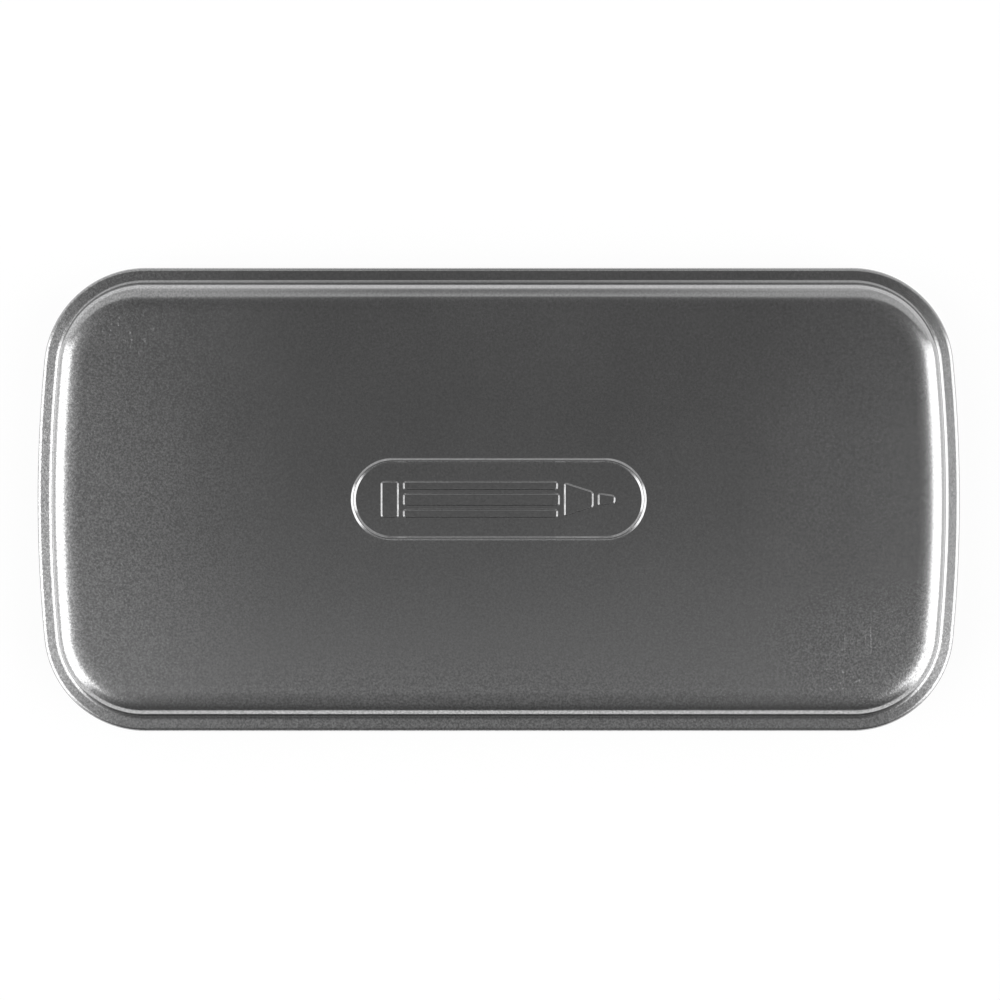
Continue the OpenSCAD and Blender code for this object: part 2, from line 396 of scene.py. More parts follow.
SIGN_PARTS = {
    "cap": [(-25.5, -4), (-21.6, -4), (-21.6, 4), (-25.5, 4)],
    "near_face": [(-20.7, -4), (12.8, -4), (12.8, -2), (-20.7, -2)],
    "middle_face": [(-20.7, -1.4), (13.2, -1.4), (13.2, 1.4), (-20.7, 1.4)],
    "far_face": [(-20.7, 2), (12.8, 2), (12.8, 4), (-20.7, 4)],
    "cone": [(14.1, -3.8), (20.5, -1.75), (20.5, 1.75), (14.1, 3.8)],
    "tip": [(21.4, -1.5), (25.2, -0.95), (25.2, 0.95), (21.4, 1.5)],
}
SIGN_CORNER = 0.7 * MM
SIGN_SLOPE = 0.3 * MM
FRAME_LENGTH = 64 * MM
FRAME_WIDTH = 18 * MM
FRAME_BEAD = 1.05 * MM
BEAD_SLOPE = FRAME_BEAD * 0.46
BEAD_FOOT = 0.05 * MM
CROWN_INSET = 0.5 * MM
CROWN_SLOPES = (6.0, 4.8, 3.8, 2.9, 2.1, 1.4, 0.8, 0.3)
CROWN_STEP = 0.4 * MM
END_DROOP = math.radians(4.1)


def model_sign(sizes, top):
    """The embossed frame and the plain pencil sign inside it, as open skins on the panel."""
    height = sizes.emboss_height
    frame_bead = face("frame_bead", stadium(FRAME_LENGTH, FRAME_WIDTH), top)
    press(frame_bead, [(BEAD_FOOT, 0)] + swell(BEAD_SLOPE, height) + [(FRAME_BEAD - 2 * BEAD_SLOPE, 0)]
          + swell(BEAD_SLOPE, -height) + [(BEAD_FOOT, 0)])
    parts = [frame_bead]
    for name, corners in SIGN_PARTS.items():
        part = face(name, [(x * MM, y * MM) for x, y in corners], top)
        edit(part, "SELECT")
        bpy.ops.mesh.bevel(offset=SIGN_CORNER, segments=6, affect="VERTICES", clamp_overlap=True)
        leave_edit()
        press(part, [(0.03 * MM, 0)] + swell(SIGN_SLOPE, height) + [(BEAD_FOOT, 0)], keep_end=True)
        parts.append(part)
    return parts


def reach_from_corners(sizes, x, y):
    """How far a point lies outside the corner centres of the outline, and how far it looks along X."""
    corner_x, corner_y, bow_reach, bow_centre = corner_centre(sizes)
    x, y = abs(x), abs(y)
    if y * (corner_x - bow_centre) < corner_y * (x - bow_centre):
        return math.hypot(x - bow_centre, y) - bow_reach, 1.0
    if x < corner_x:
        return y - corner_y, 0.0
    reach = math.hypot(x - corner_x, y - corner_y)
    return reach, (x - corner_x) / reach


def droop_ends(shell, sizes):
    """Lets the ledge slope down a little towards the ends, as the drawn sheet does there."""
    level = LID_HIGH[2] - sizes.emboss_height - sizes.ledge_depth
    foot = sizes.corner_radius - sizes.ledge_width + sizes.wall_foot_bend
    for vertex in shell.data.vertices:
        point = vertex.co
        if point.z > level + TINY:
            continue
        reach, along = reach_from_corners(sizes, point.x, point.y)
        share = (point.z - sizes.shoulder_height) / (level - sizes.shoulder_height)
        drop = math.tan(END_DROOP) * max(0.0, reach - foot) * smooth_step(along, 0.2, 0.9)
        point.z -= drop * share


def model_lid(sizes, hinge):
    """The pressed lid, from the lower edge of its skirt up to the embossed panel."""
    top = LID_HIGH[2] - sizes.emboss_height
    skirt = top - sizes.ledge_depth - sizes.skirt_bend - sizes.shoulder_height
    crown = [(CROWN_STEP, CROWN_STEP * math.tan(math.radians(slope))) for slope in CROWN_SLOPES]
    bend = outward_bend(sizes.panel_bend, last=90 - CROWN_SLOPES[0], count=18)
    wall = sizes.ledge_depth - sizes.wall_foot_bend - sum(rise for _, rise in bend + crown)
    marks = [side * (hinge.offset + end * hinge.lid_knuckle / 2) for side in (-1, 1) for end in (-1, 1)]
    shell = face("lid", outline(sizes, sizes.corner_radius, marks), sizes.shoulder_height)
    press(shell, [(0, skirt)] + outward_bend(sizes.skirt_bend)
          + ledge(sizes.ledge_width - sizes.skirt_bend - sizes.wall_foot_bend)
          + inward_bend(sizes.wall_foot_bend) + [(0, wall)]
          + bend + crown + [(CROWN_INSET, 0)])
    droop_ends(shell, sizes)
    drop_cover(shell, sizes.shoulder_height)
    lid = join("lid", shell, *model_sign(sizes, top))

    def inside_frame(point):
        beyond = max(0.0, abs(point.x) - (FRAME_LENGTH - FRAME_WIDTH) / 2)
        return math.hypot(beyond, point.y) < (FRAME_WIDTH - FRAME_BEAD) / 2

    fill_between(lid, top, lambda point: not inside_frame(point))
    fill_between(lid, top, inside_frame)
    pick_edges(lid, lambda edge, middle: edge.is_boundary and middle.y > LID_HIGH[1] - TINY
               and abs(abs(middle.x) - hinge.offset) < hinge.lid_knuckle / 2)
    bpy.ops.mesh.extrude_region_move(
        TRANSFORM_OT_translate={"value": (0, 0, HINGE_Z - sizes.shoulder_height)})
    curl(hinge, (1, 0, 0))
    weld(lid)
    turn_skin(lid, top)
    thicken(lid, sizes.sheet)
    return lid


class TIN_OT_lid(bpy.types.Operator):
    """Model the pressed lid and its two knuckles"""

    bl_idname = "pencil_tin.lid"
    bl_label = "Lid"

    def execute(self, context):
        scene = context.scene
        lid = model_lid(scene.tin_sizes, scene.hinge_sizes)
        metal = tinplate("lid_tinplate", scene.finishes.metal, LID_WEAR_AND_SHADE)
        finish_piece(lid, "lid", metal, "lid_shell")
        return {"FINISHED"}


# ---- base and hinge wires

WIRE_END_BEVEL = 0.22 * MM


def model_base_skin(sizes):
    """The base as an open skin, from the floor up to the rolled rim."""
    neck = sizes.corner_radius - sizes.sheet - sizes.skirt_clearance
    rim = BASE_HIGH[2] - sizes.rim_radius
    lower_wall = sizes.corner_radius - sizes.lower_wall_inset
    body = ([(0, rim - sizes.shoulder_height - sizes.shoulder_bend)] + outward_bend(sizes.shoulder_bend)
            + ledge(neck - sizes.shoulder_bend - lower_wall - sizes.shoulder_foot_bend)
            + inward_bend(sizes.shoulder_foot_bend)
            + [(0, sizes.shoulder_height - sizes.shoulder_foot_bend - sizes.floor_bend)]
            + outward_bend(sizes.floor_bend, count=12) + [(HEM, 0)])
    roll = outward_bend(sizes.rim_radius, last=180, count=16) + [(0, -HEM)]
    base = press_halves("base", outline(sizes, neck), rim, (False, body, True), (True, roll, False))
    turn_skin(base, 0, up=False)
    return base


def model_base_knuckles(sizes, hinge):
    """The four curled knuckles of the base, on the wall side of the wires."""
    outer = WIRE_HIGH[2] - HINGE_Z + hinge.clearance + sizes.sheet
    wire_half = (WIRE_HIGH[0] - WIRE_LOW[0]) / 2
    inner_end = hinge.lid_knuckle / 2 + hinge.gap
    knuckles = []
    for side in (-1, 1):
        for start, end in ((inner_end, wire_half), (-wire_half, -inner_end)):
            bpy.ops.mesh.primitive_plane_add(size=1)
            strip = bpy.context.object
            corners = [(side * hinge.offset + x, HINGE_Y - outer, z)
                       for z in (sizes.shoulder_height + sizes.sheet / 2, HINGE_Z) for x in (start, end)]
            for vertex, corner in zip(strip.data.vertices, corners):
                vertex.co = corner
            pick_edges(strip, lambda edge, middle: abs(middle.z - HINGE_Z) < TINY)
            curl(hinge, (-1, 0, 0))
            weld(strip)
            lowest = min(strip.data.polygons, key=lambda polygon: polygon.center.z)
            if lowest.normal.z > 0:
                strip.data.flip_normals()
            thicken(strip, sizes.sheet)
            knuckles.append(strip)
    return join("knuckles", *knuckles)


def fuse(piece, other):
    """Makes one solid of two pieces."""
    only(piece)
    union = piece.modifiers.new("union", "BOOLEAN")
    union.operation = "UNION"
    union.solver = "EXACT"
    union.object = other
    bpy.ops.object.modifier_apply(modifier=union.name)
    bpy.data.objects.remove(other)


class TIN_OT_base(bpy.types.Operator):
    """Model the base with its rolled rim and four knuckles"""

    bl_idname = "pencil_tin.base"
    bl_label = "Base"

    def execute(self, context):
        scene = context.scene
        base = model_base_skin(scene.tin_sizes)
        thicken(base, scene.tin_sizes.sheet)
        fuse(base, model_base_knuckles(scene.tin_sizes, scene.hinge_sizes))
        metal = tinplate("base_tinplate", scene.finishes.metal, BASE_WEAR_AND_SHADE)
        finish_piece(base, "base", metal, "base_shell")
        return {"FINISHED"}


class TIN_OT_hinge_wires(bpy.types.Operator):
    """Model the two hinge wires"""

    bl_idname = "pencil_tin.hinge_wires"
    bl_label = "Hinge wires"

    def execute(self, context):
        finish = drawn_wire(context.scene.finishes.wire)
        for node in ("hinge_wire_left", "hinge_wire_right"):
            low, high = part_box(node)
            deselect_all()
            bpy.ops.mesh.primitive_cylinder_add(
                vertices=32, radius=(high[2] - low[2]) / 2, depth=high[0] - low[0],
                location=[(a + b) / 2 for a, b in zip(low, high)], rotation=(0, math.pi / 2, 0))
            wire = bpy.context.object
            wire.name = node.replace("hinge_wire", "wire")
            bpy.ops.object.transform_apply(location=True, rotation=True, scale=True)
            pick_edges(wire, lambda edge, middle: any(len(side.verts) > 4 for side in edge.link_faces))
            bpy.ops.mesh.bevel(offset=WIRE_END_BEVEL, segments=4, affect="EDGES")
            leave_edit()
            finish_piece(wire, "base", finish, node)
        return {"FINISHED"}


# ---- tray

PENCIL_Y = [(low[1] + high[1]) / 2 for low, high in (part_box(name + "_casing") for name in PENCILS)]
PENCIL_Z = (CASING_LOW[2] + CASING_HIGH[2]) / 2
WELL_WALL = [(0.9, 1.0), (0.62, 0.985), (0.48, 0.93), (0.36, 0.8), (0.24, 0.5), (0.12, 0.2), (0.04, 0.06),
             (-0.1, 0.012), (-0.35, 0.0)]
GROOVE_END_SLOPE = 0.2 * MM


def beside_pencils(offsets):
    """Places along Y at the given distances to both sides of each pencil."""
    return {round(place + side * offset, 7)
            for place in PENCIL_Y for offset in offsets for side in (-1, 1)}


def across_groove(y):
    """Distance from the axis of the nearest pencil, seen from above."""
    return min(abs(y - place) for place in PENCIL_Y)


def smooth_min(a, b, blend):
    """The lower of two heights, with a rounded change from one to the other."""
    share = min(1.0, max(0.0, 0.5 + 0.5 * (b - a) / blend))
    return b + (a - b) * share - blend * share * (1 - share)


def well_share(distance):
    """How far down the wall of the finger well lies at a distance inside its edge."""
    points = [(place * MM, share) for place, share in reversed(WELL_WALL)]
    if distance <= points[0][0]:
        return 0.0
    for (start, low), (end, high) in zip(points, points[1:]):
        if distance <= end:
            return low + (high - low) * (distance - start) / (end - start)
    return 1.0


class TrayShape:
    """Heights of the top and the underside of the formed tray."""

    def __init__(self, sizes):
        self.sizes = sizes
        self.flange = TRAY_HIGH[2]
        self.floor = TRAY_LOW[2] + sizes.sheet
        self.well_x = sizes.well_width / 2
        self.well_y = max(PENCIL_Y) + sizes.groove_radius
        self.end = (sizes.groove_end, sizes.groove_end + GROOVE_END_SLOPE)

    def well(self, x, y):
        """How far down the finger well lies at a place, from 0 to 1."""
        return well_share(self.well_x - abs(x)) * well_share(self.well_y - abs(y))

    def groove(self, x, y, radius, level):
        """Height of the grooves at a place, in a sheet that is level between them."""
        across = across_groove(y)
        drop = math.sqrt(radius ** 2 - across ** 2) if across < radius else 0
        height = smooth_min(level, PENCIL_Z - drop, self.sizes.ridge_blend)
        return height + (level - height) * smooth_step(abs(x), *self.end)

    def top(self, x, y):
        """The upper side of the sheet."""
        height = self.groove(x, y, self.sizes.groove_radius, self.flange)
        return x, y, height + (self.floor - height) * self.well(x, y)

    def underside(self, x, y):
        """The lower side, moved sideways at the steep walls so that they keep their thickness."""
        sheet = self.sizes.sheet
        height = self.groove(x, y, self.sizes.groove_radius + sheet, self.flange - sheet)
        height += (self.floor - sheet - height) * self.well(x, y)
        inside_x = -1 * MM < abs(x) - self.well_x + 0.5 * MM < 0.9 * MM
        inside_y = abs(x) < self.well_x + 0.4 * MM and abs(abs(y) - self.well_y + 0.4 * MM) < 0.85 * MM
        at_end = abs(abs(x) - self.sizes.groove_end) < 0.25 * MM
        shift_x = sheet * (inside_x or at_end)
        return x + math.copysign(shift_x, x), y + math.copysign(sheet * inside_y, y), height


def model_tray(sizes, tin):
    """The formed tray: a groove for each pencil and a finger well across them all."""
    shape = TrayShape(sizes)
    radius = sizes.groove_radius
    reach = math.asin(math.sqrt(radius ** 2 - (PENCIL_Z - shape.flange) ** 2) / radius)
    offsets = [radius * math.sin(reach * i / 7) for i in range(8)]
    offsets += [offsets[-1] - 0.09 * MM, offsets[-1] + 0.06 * MM, radius, offsets[-1] + 0.1 * MM]
    rows = beside_pencils(offsets)
    rows |= {round(side * (shape.well_y + extra * MM), 7) for side in (-1, 1)
             for extra in [-place for place, _ in WELL_WALL] + [0.5, 1.2]}
    columns = {round(side * place, 7) for side in (-1, 1) for place in
               [shape.well_x - place * MM for place, _ in WELL_WALL]
               + [shape.end[0] + step * MM for step in (-0.4, 0, 0.05, 0.1, 0.15, 0.2, 1.0)]
               + [shape.well_x + (shape.end[0] - shape.well_x) * i / 8 for i in range(1, 8)]}
    columns |= {i * shape.well_x / 4 for i in range(-3, 4)}
    tray = face("tray", outline(tin, sizes.edge_reach), shape.flange)
    score(tray, 1, rows)
    score(tray, 0, columns)
    only(tray)
    bpy.ops.object.duplicate()
    under = bpy.context.object
    for piece, place in ((tray, shape.top), (under, shape.underside)):
        for vertex in piece.data.vertices:
            vertex.co = place(vertex.co.x, vertex.co.y)
    under.data.flip_normals()
    tray = join("tray", tray, under)
    pick_edges(tray, lambda edge, middle: edge.is_boundary)
    bpy.ops.mesh.bridge_edge_loops()
    leave_edit()
    weld(tray)
    return tray


class TIN_OT_tray(bpy.types.Operator):
    """Model the formed tray"""

    bl_idname = "pencil_tin.tray"
    bl_label = "Tray"

    def execute(self, context):
        scene = context.scene
        tray = model_tray(scene.tray_sizes, scene.tin_sizes)
        finish_piece(tray, "base", formed_plastic(), "pencil_tray", 40)
        return {"FINISHED"}


# ---- foam

DENT_HALF_WIDTH = 1.9 * MM
BLUNT_SCORES = (-1, -0.4, 0.1, 0.6, 1.2)
CONE_SCORES = (19, 17, 15, 13, 11)


def foam_dent(x, y):
    """How much the pencils have pressed into the foam at a place, from 0 to 1."""
    across = across_groove(y) / DENT_HALF_WIDTH
    blunt = smooth_step(x, CORE_LOW[0] + BLUNT_SCORES[0] * MM, CORE_LOW[0] + BLUNT_SCORES[-1] * MM)
    cone = smooth_step(x, CASING_HIGH[0] - CONE_SCORES[0] * MM, CASING_HIGH[0] - CONE_SCORES[-1] * MM)
    return blunt * (1 - cone) * max(0.0, 1 - across ** 2) ** 1.5


def model_foam(sizes, tin):
    """The cut sheet of foam, with soft edges and a dent over each pencil."""
    middle = (FOAM_LOW[2] + FOAM_HIGH[2]) / 2
    half = FOAM_HIGH[2] - middle
    halves = [(up, [(0, half - bend)] + outward_bend(bend, count=6) + [(HEM, 0)], True)
              for up, bend in ((False, sizes.edge_bend), (True, sizes.edge_bend * 0.4))]
    foam = press_halves("foam", outline(tin, sizes.edge_reach), middle, *halves)
    score(foam, 1, beside_pencils([DENT_HALF_WIDTH * i / 4 for i in range(5)]))
    score(foam, 0, [CORE_LOW[0] + step * MM for step in BLUNT_SCORES]
          + [CASING_HIGH[0] - step * MM for step in CONE_SCORES]
          + [CORE_LOW[0] + (CASING_HIGH[0] - CORE_LOW[0]) * i / 16 for i in range(1, 14)])
    pressed = foam.data.attributes.new("pressed", "FLOAT", "POINT")
    for index, vertex in enumerate(foam.data.vertices):
        x, y, z = vertex.co
        dent = foam_dent(x, y) if z < FOAM_LOW[2] + TINY else 0.0
        pressed.data[index].value = dent
        vertex.co.z += sizes.dent * dent
    return foam


class TIN_OT_foam(bpy.types.Operator):
    """Model the foam sheet in the lid"""

    bl_idname = "pencil_tin.foam"
    bl_label = "Foam"

    def execute(self, context):
        scene = context.scene
        foam = model_foam(scene.foam_sizes, scene.tin_sizes)
        finish_piece(foam, "lid", cut_foam(), "foam_sheet", 50)
        return {"FINISHED"}


# ---- pencils

CASING_RADIUS = (CASING_HIGH[2] - CASING_LOW[2]) / 2
BUTT_BEVEL = 0.2 * MM
CORE_BEVEL = 0.08 * MM
LACQUER_EDGE = [(0.15, 0.16), (0.3, 0.1), (0.55, 0.04)]
SCALLOP = 0.16 * MM
TURN_BETWEEN_PENCILS = 137.5


def model_casing(sizes):
    """The wooden casing of a pencil, standing on its blunt end at the middle of the scene."""
    length = CASING_HIGH[0] - CASING_LOW[0]
    cone_start = length - sizes.cone_length
    rings = 6
    bare = CASING_RADIUS - sizes.lacquer
    cone = [((bare - sizes.bore_radius) / rings, sizes.cone_length / rings)] * rings
    lacquer_edge = [(sizes.lacquer * share, along * MM) for share, along in LACQUER_EDGE]
    side = cone_start - BUTT_BEVEL - sum(along for _, along in lacquer_edge)
    upper = [(0, side)] + lacquer_edge + cone + [(0, -length)]
    ring = 0.5 * MM
    butt = [(ring, 0), (CASING_RADIUS - BUTT_BEVEL - ring - sizes.bore_radius, 0)]
    casing = press_halves("casing", disc(CASING_RADIUS, 64), BUTT_BEVEL, (True, upper, False),
                          (False, outward_bend(BUTT_BEVEL, count=3) + butt, False))
    for vertex in casing.data.vertices:
        turn = math.atan2(vertex.co.y, vertex.co.x)
        near = 1 - smooth_step(abs(vertex.co.z - cone_start), 0.4 * MM, 2.5 * MM)
        if math.hypot(vertex.co.x, vertex.co.y) > sizes.bore_radius + 0.4 * MM:
            vertex.co.z += near * SCALLOP * (math.sin(3 * turn) + 0.6 * math.sin(7 * turn + 1) - 0.9)
    return casing


def model_core(sizes):
    """The pigment core of a pencil, sharpened to a rounded point."""
    tip_bend = sizes.tip_radius * 0.6
    rings = 5
    cone = [((sizes.core_radius - sizes.tip_radius) / rings,
             (CORE_HIGH[0] - CASING_HIGH[0] - tip_bend) / rings)] * rings
    upper = [(0, CASING_HIGH[0] - CORE_LOW[0] - CORE_BEVEL)] + cone + outward_bend(tip_bend, count=4)
    return press_halves("core", disc(sizes.core_radius), CORE_BEVEL, (True, upper, True),
                        (False, outward_bend(CORE_BEVEL, count=2), True))


def lay_copy(source, name, y, turn):
    """A copy of an upright part, turned about its own length and laid along X at its place."""
    only(source)
    bpy.ops.object.duplicate()
    copy = bpy.context.object
    copy.name = copy.data.name = name
    copy.data.transform(Matrix.Translation((CASING_LOW[0], y, PENCIL_Z))
                        @ Matrix.Rotation(math.pi / 2, 4, "Y") @ Matrix.Rotation(turn, 4, "Z"))
    return copy


def bare_faces(piece, sizes, y):
    """Gives the second material to the faces of the cone, the bore and the blunt end."""
    cone_start = CASING_HIGH[0] - sizes.cone_length - 0.05 * MM
    for polygon in piece.data.polygons:
        x, across, height = polygon.center
        out = math.hypot(across - y, height - PENCIL_Z)
        cone = x > cone_start and out < CASING_RADIUS - 0.09 * MM
        bore = out < sizes.bore_radius + 0.1 * MM
        polygon.material_index = int(cone or bore or x < CASING_LOW[0] + 0.03 * MM)


class TIN_OT_pencils(bpy.types.Operator):
    """Model the pencils, each a lacquered casing and its core"""

    bl_idname = "pencil_tin.pencils"
    bl_label = "Pencils"

    def execute(self, context):
        sizes = context.scene.pencil_sizes
        casing = model_casing(sizes)
        core = model_core(sizes)
        wood = bare_wood(context.scene.finishes.wood)
        kinds = ((casing, "casing", "wood", lacquer), (core, "core", "pigment", pigment))
        for index, (name, y) in enumerate(zip(PENCILS, PENCIL_Y)):
            turn = math.radians(TURN_BETWEEN_PENCILS * index)
            for source, part, stuff, finish in kinds:
                slot_name = NODE_SLOTS[f"{name}_{part}"]
                piece = lay_copy(source, f"{name}_{stuff}", y, turn)
                material = finish(slot_name, SLOT_COLOURS[slot_name], y)
                finish_piece(piece, name, material, f"{name}_{part}", 25)
                if part == "casing":
                    piece.data.materials.append(wood)
                    bare_faces(piece, sizes, y)
        for source in (casing, core):
            bpy.data.objects.remove(source)
        return {"FINISHED"}


# ---- materials

GROWTH_RING = (0.42, 0.2, 0.1, 1)
# The crease entries are painted shade: a dark band between four heights in mm (start, full, fade, end) and
# how dark it gets.
LID_WEAR_AND_SHADE = {"scratches": [(75.4, -28, 2.4, 13), (80.5, -32, 2.6, 13)],
            "smudges": [(-80.5, 36, 13, 10), (75, -39, 9, 6)],
            "rubbed": [(-98, 0, 75, 110), (82, -36, 40, 30), (-10, -50, 130, 26)],
            "crease_shade": (14.33, 14.46, 15.1, 16.0), "crease_shade_depth": 0.62}
BASE_WEAR_AND_SHADE = {"scratches": [(-30, 12, 22, 9), (48, -21, 12, 16)], "smudges": [(20, 8, 20, 14)],
             "rubbed": [(-40, 0, 60, 40)],
             "crease_shade": (4.6, 6.8, 7.3, 8.5), "crease_shade_depth": 0.5}


class Nodes:
    """A node tree under construction."""

    def __init__(self, tree):
        self.tree = tree

    def set(self, node, inputs):
        for key, value in inputs.items():
            if isinstance(value, bpy.types.NodeSocket):
                self.tree.links.new(value, node.inputs[key])
            else:
                node.inputs[key].default_value = value

    def add(self, kind, inputs=None, **settings):
        node = self.tree.nodes.new("ShaderNode" + kind)
        for key, value in settings.items():
            setattr(node, key, value)
        self.set(node, inputs or {})
        return node

    def between(self, value, low, high, to_low=0.0, to_high=1.0, shape="LINEAR"):
        """Carries a value from one range to another and holds it there."""
        inputs = {"Value": value, "From Min": low, "From Max": high, "To Min": to_low, "To Max": to_high}
        return self.add("MapRange", inputs, interpolation_type=shape).outputs[0]

    def eased(self, value, low, high, to_high=1.0):
        """Rises from 0 between two values, level at both ends."""
        return self.between(value, low, high, 0.0, to_high, "SMOOTHSTEP")

    def math(self, operation, first, second=0.0):
        return self.add("Math", {0: first, 1: second}, operation=operation).outputs[0]

    def times(self, first, second):
        return self.math("MULTIPLY", first, second)

    def plus(self, first, second):
        return self.math("ADD", first, second)

    def mix(self, share, first, second):
        """Mixes two colours."""
        return self.add("Mix", {0: share, 6: first, 7: second}, data_type="RGBA").outputs[2]

    def steps(self, value, stops):
        """A grey level that follows stops of place and level, for a value from 0 to 1."""
        ramp = self.add("ValToRGB", {"Fac": value})
        elements = ramp.color_ramp.elements
        while len(elements) < len(stops):
            elements.new(0.5)
        for element, (place, level) in zip(elements, stops):
            element.position = place
            element.color = (level, level, level, 1)
        return ramp.outputs["Color"]


class Look(Nodes):
    """A material under construction: its nodes, its coordinates and its principled shader."""

    def __init__(self, name, colour, roughness, metallic=0.0, **inputs):
        self.material = bpy.data.materials.new(name)
        self.material.use_nodes = True
        super().__init__(self.material.node_tree)
        self.colour = colour
        self.shader = self.tree.nodes["Principled BSDF"]
        self.place = self.add("TexCoord").outputs["Object"]
        inputs.update(Base_Color=(*colour, 1), Roughness=roughness, Metallic=metallic)
        self.set(self.shader, {key.replace("_", " "): value for key, value in inputs.items()})

    def stretched(self, scale, centre=(0, 0, 0)):
        """Coordinates scaled per metre, by one number or by one for each axis."""
        scale = scale if isinstance(scale, tuple) else (scale,) * 3
        shift = [-place * factor for place, factor in zip(centre, scale)]
        return self.add("Mapping", {"Vector": self.place, "Location": shift, "Scale": scale}).outputs[0]

    def noise(self, scale, detail=2.0, rough=0.5, centre=(0, 0, 0)):
        place = self.stretched(scale, centre)
        inputs = {"Vector": place, "Scale": 1.0, "Detail": detail, "Roughness": rough}
        return self.add("TexNoise", inputs).outputs["Fac"]

    def bump(self, height, depth, strength=1.0, **below):
        """A relief of the given depth, over a relief given as Normal."""
        inputs = {"Height": height, "Distance": depth, "Strength": strength, **below}
        return self.add("Bump", inputs).outputs[0]

    def patch(self, place, soft):
        """1 in the middle of an oval on the X-Y plane, 0 outside it; in millimetres."""
        x, y, half_x, half_y = (value * MM for value in place)
        flat = self.stretched((1 / half_x, 1 / half_y, 0), (x, y, 0))
        length = self.add("VectorMath", {0: flat}, operation="LENGTH").outputs["Value"]
        return self.between(length, 1 - soft, 1.0, 1.0, 0.0, "SMOOTHSTEP")

    def shades(self, share, first, second):
        """Mixes two shades of the colour."""
        return self.mix(share, shade(self.colour, first), shade(self.colour, second))

    def mix_in_shade(self, share, factor):
        """Mixes a shade of the colour into the tone."""
        self.tone = self.mix(share, self.tone, shade(self.colour, factor))

    def done(self, **inputs):
        """Sets the last inputs of the shader and gives the material."""
        self.set(self.shader, {"Base Color": self.tone, **inputs})
        return self.material


def shade(colour, factor):
    """A colour made lighter or darker."""
    return (*(min(1.0, part * factor) for part in colour), 1)


def tinplate(name, colour, wear_and_shade):
    """Bare satin tinplate with a fine upright grain, a fine sparkle, worn places, and a band of painted
    shade at the foot of the lid wall or at the base shoulder under the lid skirt.
    """
    look = Look(name, colour, 0.16, metallic=1.0)
    grain = look.noise((2000, 1600, 1800), detail=3, rough=0.72)
    pits = look.between(look.noise((3400, 2600, 3400), detail=1), 0.5, 0.74)
    cloud = look.noise((26, 20, 26), detail=3, rough=0.55)
    look.tone = look.shades(look.between(grain, 0.3, 0.7), 0.95, 1.05)
    rubbed = 0.25
    for place in wear_and_shade["rubbed"]:
        rubbed = look.math("MAXIMUM", rubbed, look.patch(place, 0.9))
    mottle = look.shades(look.between(look.noise(2300, rough=0.6), 0.34, 0.66), 0.62, 1.38)
    look.tone = look.mix(look.times(rubbed, 0.8), look.tone, mottle)
    rough = look.plus(look.between(grain, 0.25, 0.75, 0.14, 0.19),
                      look.between(cloud, 0.3, 0.7, -0.02, 0.02))
    lines = look.between(look.noise((4200, 110, 300), detail=1), 0.62, 0.7)
    blots = look.between(look.noise((1150, 800, 1150), rough=0.6), 0.61, 0.72)
    for kind, pattern, soft, share, factor in (("scratches", lines, 0.8, 0.35, 1.4),
                                               ("smudges", blots, 0.9, 0.75, 1.8)):
        for place in wear_and_shade[kind]:
            mark = look.times(pattern, look.patch(place, soft))
            look.mix_in_shade(look.times(mark, share), factor)
            rough = look.plus(rough, look.times(mark, 0.1))
    # Painted shade: darkens the tone in a band of heights, at the foot of the lid wall and round the base
    # shoulder under the lid skirt.
    z = look.add("SeparateXYZ", {"Vector": look.place}).outputs["Z"]
    start, full, fade, end = (place * MM for place in wear_and_shade["crease_shade"])
    crease_shade = look.times(look.eased(z, start, full), look.eased(z, end, fade))
    look.mix_in_shade(look.times(crease_shade, wear_and_shade["crease_shade_depth"]), 0.05)
    lift = look.bump(grain, 0.006 * MM, look.between(rubbed, 0, 1, 0.6, 1))
    return look.done(Roughness=rough, Normal=look.bump(pits, 0.004 * MM, rubbed, Normal=lift))


def drawn_wire(colour):
    """Drawn steel wire with fine lines along it."""
    look = Look("drawn_wire", colour, 0.32, metallic=1.0)
    lines = look.noise((120, 9000, 9000))
    look.tone = look.shades(look.between(look.noise(900, detail=3), 0.4, 0.7), 0.8, 1.1)
    return look.done(Roughness=look.between(lines, 0.3, 0.7, 0.25, 0.42),
                     Normal=look.bump(lines, 0.01 * MM))


def formed_plastic():
    """Dark formed plastic sheet with a fine skin, pale rub marks and pigment dust at the tips."""
    look = Look("formed_plastic", SLOT_COLOURS["tray_plastic"], 0.4, IOR=1.5)
    skin = look.noise(2400, detail=3, rough=0.6)
    look.tone = look.shades(look.noise((45, 60, 60), detail=3), 0.8, 1.3)
    look.mix_in_shade(look.between(look.noise((60, 2600, 900)), 0.66, 0.74, 0, 0.35), 2.4)
    dust_grains = look.add("TexVoronoi", {"Vector": look.stretched(2600), "Scale": 1.0})
    along = look.add("SeparateXYZ", {"Vector": look.place}).outputs["X"]
    near_tips = look.eased(along, 66 * MM, 83 * MM)
    dusty = look.times(look.between(look.noise(700, detail=3), 0.52, 0.66), near_tips)
    grains = look.times(look.between(dust_grains.outputs["Distance"], 0.3, 0.18), dusty)
    look.tone = look.mix(look.times(grains, 0.7), look.tone, dust_grains.outputs["Color"])
    rough = look.plus(look.between(skin, 0.3, 0.7, 0.34, 0.46), look.times(grains, 0.3))
    return look.done(Roughness=rough, Normal=look.bump(skin, 0.02 * MM, 0.7))


